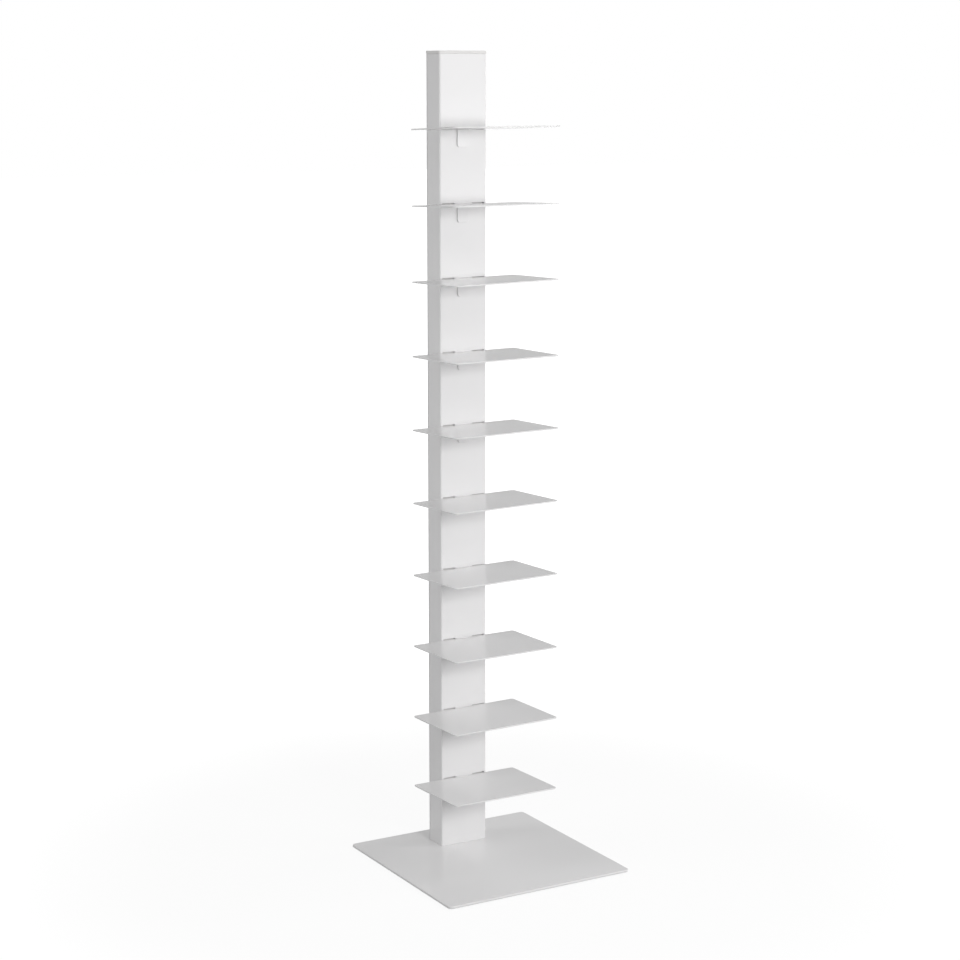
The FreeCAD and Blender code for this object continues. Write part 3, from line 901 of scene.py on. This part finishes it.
make_fasteners("bolts_with_thread", bolt_surface(), bolt_places, "base_bolts")

# %% The nuts on the sole
NUT_FLATS = 10.0 * MM
THREAD_PLAY = 0.05 * MM
LEAD_IN = 0.25 * MM  # how far the bore's mouths open past the bolt's crest
NUT_EASE, NUT_CHAMFER = 0.15 * MM, 0.55 * MM
NUT_FACE = 0.95  # width of its round face, as a share of the flats
NUT_CONE = math.radians(62)


def nut_surface(rise, around=60, thread_rings=41):
    """Hexagon nut, from its bore's foot up the thread, out over its top, down its side and back.
    The thread is the bolt's plus the play, so rise is the nut's height over the bolt's face. The side
    is the smaller of the hexagon and a cone that cuts its corners."""
    low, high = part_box("sole_nuts")
    height = high.z - low.z
    z = evenly(0, height, thread_rings)
    bore = thread(z + rise, around, BOLT_ROOT, BOLT_CREST, BOLT_PITCH) + THREAD_PLAY
    mouth = BOLT_CREST + LEAD_IN
    ends = [0.0, NUT_EASE, NUT_CHAMFER]
    levels = np.array([height - end for end in ends] + ends[::-1])[:, None]
    hexagon = NUT_FLATS / 2 / np.cos((round_axis(around) % (math.pi / 3)) - math.pi / 6)
    cone = NUT_FACE * NUT_FLATS / 2 + np.minimum(levels, height - levels) * math.tan(NUT_CONE)
    foot, top = ring(mouth, 0.0), ring(mouth, height)
    return turned([foot, (bore, z), top, (np.minimum(hexagon, cone), levels), foot], around)


nut_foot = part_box("sole_nuts")[0].z
places = [(x, y, nut_foot) for x, y, _ in bolt_places]
make_fasteners("nuts_with_thread", nut_surface(nut_foot - bolts_low.z), places, "sole_nuts")

# %% The wall anchor's rivet nut
ANCHOR_BODY = (3.5 * MM, 11.0 * MM)  # radius and length
ANCHOR_FLANGE = (5.0 * MM, 1.0 * MM)
ANCHOR_MINOR, ANCHOR_MAJOR = 2.1 * MM, 2.5 * MM
ANCHOR_PITCH = 0.8 * MM
ANCHOR_MOUTH = (0.35 * MM, 0.4 * MM)  # width and depth of its lead-in
ANCHOR_RIBS, RIB_DEPTH = 20, 0.12 * MM
BODY_EASE, FLANGE_EASE = 0.4 * MM, 0.3 * MM


def rivet_nut_surface(around=60, thread_rings=78):
    """Rivet nut, from its bore's inner end along the thread to its mouth, over the flange and back
    along the ribbed body. The ribs are a wave round the axis. The panel's face is at height 0."""
    z = evenly(-ANCHOR_BODY[1], ANCHOR_FLANGE[1] - ANCHOR_MOUTH[1], thread_rings)
    bore = thread(z, around, ANCHOR_MAJOR, ANCHOR_MINOR, ANCHOR_PITCH)
    back = evenly(-BODY_EASE, -ANCHOR_BODY[1] + BODY_EASE, 4)
    wave = 0.5 - 0.5 * np.cos(2 * math.pi * ANCHOR_RIBS * round_axis(around, 1))
    ribs = ANCHOR_BODY[0] - RIB_DEPTH * wave + 0 * back
    edge = evenly(math.pi / 2, 0, 5)
    rim_radius = ANCHOR_FLANGE[0] - FLANGE_EASE * (1 - np.cos(edge))
    rim_height = ANCHOR_FLANGE[1] - FLANGE_EASE * (1 - np.sin(edge))
    rows = [(bore, z), ring(ANCHOR_MAJOR + ANCHOR_MOUTH[0], ANCHOR_FLANGE[1])]
    rows += [(rim_radius, rim_height), ring(ANCHOR_FLANGE[0], 0.0), (ribs, back)]
    rows += [ring(ANCHOR_BODY[0] - BODY_EASE, -ANCHOR_BODY[1]), (bore[:1], z[:1])]
    return turned(rows, around)


low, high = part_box("anchor_nut")
anchor_place = (0.0, high.y - ANCHOR_FLANGE[1], (low.z + high.z) / 2)
make_fasteners("anchor_with_thread", facing_back(rivet_nut_surface()), [anchor_place], "anchor_nut")

# %% [markdown]
# ## The pads under the base
# Four thin rubber pads keep the steel off the floor. Each is moulded with a soft rim and shallow
# rings in its underside, which grip like a tyre's tread. They are turned surfaces too: a profile
# from the middle of the underside, out over the rings, round the rim and back over the top.

# %% Foot pads
GROOVE_PITCH = 2.4 * MM
GROOVE_DEPTH = 0.3 * MM
PAD_RIM = 0.5 * MM


def pad_surface(radius, thickness, around=72, underside_rings=60, rim_rings=9):
    """Round pad whose underside is at height 0. The grooves are the root of a cosine's lower halves,
    along the distance to the axis, and the rim is a half-round of radius PAD_RIM."""
    r = evenly(0, radius - 2 * PAD_RIM, underside_rings)
    groove = GROOVE_DEPTH * ramp(-np.cos(2 * math.pi * r / GROOVE_PITCH), 1) ** 0.5
    turn = evenly(-math.pi / 2, math.pi / 2, rim_rings)
    rim_r = radius - PAD_RIM + PAD_RIM * np.cos(turn)
    rim_z = np.where(turn < 0, PAD_RIM * (1 + np.sin(turn)), thickness - PAD_RIM * (1 - np.sin(turn)))
    return turned([(r, groove), (rim_r, rim_z), ring(0.0, thickness)], around)


for name in sorted(name for name in frame["nodes"] if name.startswith("foot_pad_")):
    low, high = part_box(name)
    surface = pad_surface((high.x - low.x) / 2, high.z - low.z)
    points, faces = copies(surface, [((low.x + high.x) / 2, (low.y + high.y) / 2, low.z)])
    make_piece(name + "_moulded", points, faces, pad_rubber, "spine", "pad_rubber", replaces=name)

# %% [markdown]
# ## The room
# The room is a white floor that runs into a bright horizon, under a dimmer, pale ceiling. A world
# shader can hold all of it as a gradient over the height of the view direction. A lit backdrop mesh
# would do the same with more to tune, and its edges would show from other sides.
#
# What the camera, mirrors and glass see is the white room. What lights the object is the same room,
# turned down, so that white paint keeps its own tone.

# %% World
HORIZON_WHITE = 1.0
CEILING_GREY = 0.56
GRADIENT_START = 0.034  # height of the view direction where the white ends
GRADIENT_END = 0.06  # and where the ceiling's grey starts
ROOM_LIGHT = 0.74  # share of the room's brightness that lights the object


def seen_directly(tree):
    """1 for a camera, glossy or transmission ray, 0 for every other ray."""
    ray = add(tree, "LightPath", {}).outputs
    seen = arithmetic(tree, "MAXIMUM", ray["Is Camera Ray"], ray["Is Glossy Ray"])
    return arithmetic(tree, "MAXIMUM", seen, ray["Is Transmission Ray"])


world = bpy.data.worlds.new("white_room")
scene.world = world
world.use_nodes = True
tree = world.node_tree
view = add(tree, "SeparateXYZ", {0: add(tree, "TexCoord", {}).outputs["Generated"]})
up = view.outputs["Z"]
gradient = remap(tree, up, GRADIENT_START, GRADIENT_END, HORIZON_WHITE, CEILING_GREY)
gradient.node.interpolation_type = "SMOOTHSTEP"
strength = remap(tree, seen_directly(tree), 0.0, 1.0, ROOM_LIGHT, 1.0)
plug(tree, tree.nodes["Background"], {"Color": gradient, "Strength": strength})
print("world:", CEILING_GREY, "above,", HORIZON_WHITE, "at the horizon")

# %% [markdown]
# ## The floor
# The floor is a sheet of pale paper. Lit like the object it would look grey, because paper returns
# only a part of the light, so the camera and the reflections see it with a glow added. Near the
# bookshelf a share of the plain paper stays in the mix and keeps its shadow. Further out that share
# fades, and the floor runs into the white horizon without a line.

# %% Floor
FLOOR_SIZE = 60.0
FLOOR_COLOUR = (0.35, 0.35, 0.35)
FLOOR_GLOW = 1.22
GLOW_SHARE = 0.74  # of the glow, near the bookshelf
SHADOW_REACH = (0.6, 2.2)  # distances between which the plain paper fades

corner = FLOOR_SIZE / 2
floor_mesh = bpy.data.meshes.new("floor")
floor_points = [(corner * x, corner * y, 0) for x, y in ((-1, -1), (1, -1), (1, 1), (-1, 1))]
floor_mesh.from_pydata(floor_points, [], [(0, 1, 2, 3)])
floor = bpy.data.objects.new("floor", floor_mesh)
scene.collection.objects.link(floor)
paper = bpy.data.materials.new("floor_paper")
paper.use_nodes = True
tree = paper.node_tree
tree.nodes.remove(tree.nodes["Principled BSDF"])
plain = add(tree, "BsdfDiffuse", {"Color": FLOOR_COLOUR}).outputs[0]
glow = add(tree, "Emission", {"Strength": FLOOR_GLOW}).outputs[0]
distance = add(tree, "VectorMath", {0: own_place(tree)}, operation="LENGTH")
share = remap(tree, distance.outputs["Value"], *SHADOW_REACH, GLOW_SHARE, 1.0)
share.node.interpolation_type = "SMOOTHSTEP"
glowing = multiply(tree, seen_directly(tree), share)
mix = add(tree, "MixShader", {"Fac": glowing, 1: plain, 2: glow})
plug(tree, tree.nodes["Material Output"], {"Surface": mix.outputs[0]})
floor_mesh.materials.append(paper)
print("floor:", FLOOR_SIZE, "m square")

# %% [markdown]
# ## The lamps
# Soft lamps about a metre wide stand round the bookshelf's front. The strongest faces it at the
# height of the top shelves, so the column's front is the brightest face and the shade under a shelf
# grows from the top one down. Two weaker ones to the right and two high ones model the tops, and one
# at the left lifts the column's side. Larger lamps would also darken the column just above each
# shelf, which hides their lower half.
#
# The glossy coat mirrors a lamp to a viewer who stands opposite it. The two strongest lamps would
# show there as white patches, from behind or from the left, so they light without being mirrored.

# %% Lamps
AIM = (0.0, 0.1, 0.85)


def softbox(name, place, size, power, mirrored=True):
    """Square area lamp at place that faces the middle of the bookshelf. The glossy coat shows its
    image only if it is mirrored."""
    data = bpy.data.lights.new(name, "AREA")
    data.shape = "SQUARE"
    data.size = size
    data.energy = power
    lamp = bpy.data.objects.new(name, data)
    lamp.location = place
    x, y, z = (p - a for p, a in zip(place, AIM))
    lamp.rotation_euler = (math.atan2(math.hypot(x, y), z), 0.0, math.atan2(x, -y))
    lamp.visible_glossy = mirrored
    scene.collection.objects.link(lamp)
    print("lamp:", name, power, "W")


softbox("front", (0.0, -3.5, 1.6), 0.9, 52.5, mirrored=False)
softbox("right_front", (1.8, -3.02, 1.6), 0.9, 10.3)
softbox("right", (3.12, -1.7, 1.6), 0.9, 26.5, mirrored=False)
softbox("high_right", (3.59, -0.21, 3.2), 0.9, 20.3)
softbox("high_left", (-1.8, -3.02, 3.2), 0.9, 4.1)
softbox("left", (-2.13, 0.67, 1.7), 1.0, 11.0)

# %% Finish
scene.view_settings.view_transform = "Standard"
